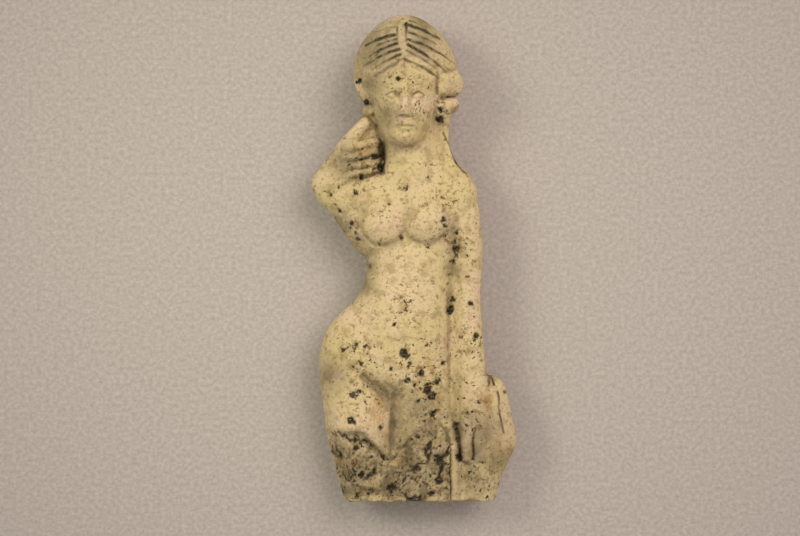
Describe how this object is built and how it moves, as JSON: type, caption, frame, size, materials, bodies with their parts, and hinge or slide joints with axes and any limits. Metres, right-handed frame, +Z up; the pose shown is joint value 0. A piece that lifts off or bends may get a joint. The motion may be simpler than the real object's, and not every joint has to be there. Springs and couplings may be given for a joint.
{
  "type": "pipeclay venus figurine",
  "caption": "Small press-moulded white clay figurine of a standing nude woman, hollow, broken off at the knees, lying on its back.",
  "frame": {"origin": "under the middle of the figurine, on the surface it lies on", "axes": "+Z up out of the figure's front as it lies on its back, +Y to the crown of the head, +X to the figure's left hand"},
  "size_m": [0.0536, 0.1262, 0.0269],
  "materials": {
    "pipeclay": "unglazed fired white clay, matt, cream with dark soil in its pits and grooves"
  },
  "bodies": {
    "root": {"figurine": "pipeclay"}
  },
  "joints": []
}
